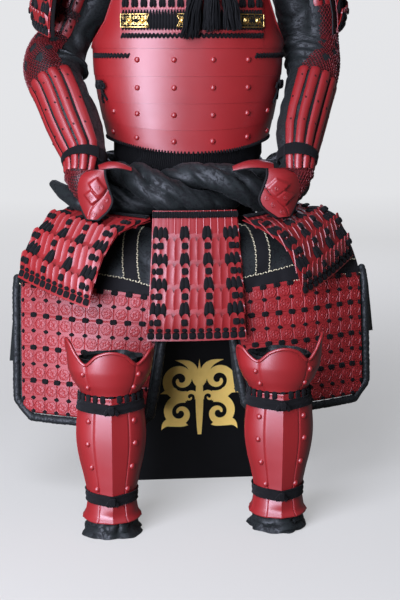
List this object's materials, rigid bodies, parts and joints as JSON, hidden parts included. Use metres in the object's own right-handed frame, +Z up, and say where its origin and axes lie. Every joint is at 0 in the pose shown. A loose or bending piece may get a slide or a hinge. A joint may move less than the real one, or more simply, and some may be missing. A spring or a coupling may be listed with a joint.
{
  "type": "samurai armour on armour box",
  "caption": "Red lacquered samurai armour in seated display on a black armour box, without helmet: laced skirt panels, plated thigh apron, twisted belt, armoured sleeves and shin guards.",
  "frame": {"origin": "centre of the armour box's base, on the surface that it stands on", "axes": "+Z up, the armour faces -Y, and +X is towards the wearer's left"},
  "size_m": [0.8708, 0.9097, 1.3325],
  "materials": {
    "red_lacquer": "satin lacquer",
    "black_lacquer": "satin lacquer",
    "black_brocade": "figured silk",
    "black_braid": "flat silk braid",
    "gilt_metal": "polished gilt",
    "plain_wood": "planed"
  },
  "bodies": {
    "root": {"ankle_tie_left": "black_braid", "ankle_tie_right": "black_braid", "belt_strand_lower": "black_brocade", "belt_strand_upper": "black_brocade", "belt_tail": "black_brocade", "box_body": "black_lacquer", "box_lid": "black_lacquer", "chest_lacing": "black_braid", "chest_mount_left": "gilt_metal", "chest_mount_right": "gilt_metal", "chest_tassel": "black_braid", "do_back": "red_lacquer", "do_front": "red_lacquer", "forearm_splints_left": "red_lacquer", "forearm_splints_right": "red_lacquer", "haidate_cloth_left": "black_brocade", "haidate_cloth_right": "black_brocade", "haidate_piping_left": "black_brocade", "haidate_piping_right": "black_brocade", "haidate_plates_left": "red_lacquer", "haidate_plates_right": "red_lacquer", "haidate_waistband": "black_brocade", "hand_guard_left": "red_lacquer", "hand_guard_right": "red_lacquer", "knee_guard_left": "red_lacquer", "knee_guard_right": "red_lacquer", "knee_tie_left": "black_braid", "knee_tie_right": "black_braid", "shin_guard_left": "red_lacquer", "shin_guard_right": "red_lacquer", "shin_liner_left": "black_brocade", "shin_liner_right": "black_brocade", "shoulder_bar": "plain_wood", "shoulder_strap_left": "black_brocade", "shoulder_strap_right": "black_brocade", "side_tie_left": "black_braid", "side_tie_right": "black_braid", "sleeve_left": "black_brocade", "sleeve_right": "black_brocade", "sode_left": "red_lacquer", "sode_right": "red_lacquer", "stand_post": "plain_wood", "suspension_lacing": "black_braid", "tasset_back_left": "red_lacquer", "tasset_back_right": "red_lacquer", "tasset_front": "red_lacquer", "tasset_front_left": "red_lacquer", "tasset_front_right": "red_lacquer", "tasset_side_left": "red_lacquer", "tasset_side_right": "red_lacquer", "thigh_rail_left": "plain_wood", "thigh_rail_right": "plain_wood", "thumb_guard_left": "red_lacquer", "thumb_guard_right": "red_lacquer", "upper_arm_plates_left": "red_lacquer", "upper_arm_plates_right": "red_lacquer", "wrist_strap_left": "black_braid", "wrist_strap_right": "black_braid"}
  },
  "joints": []
}
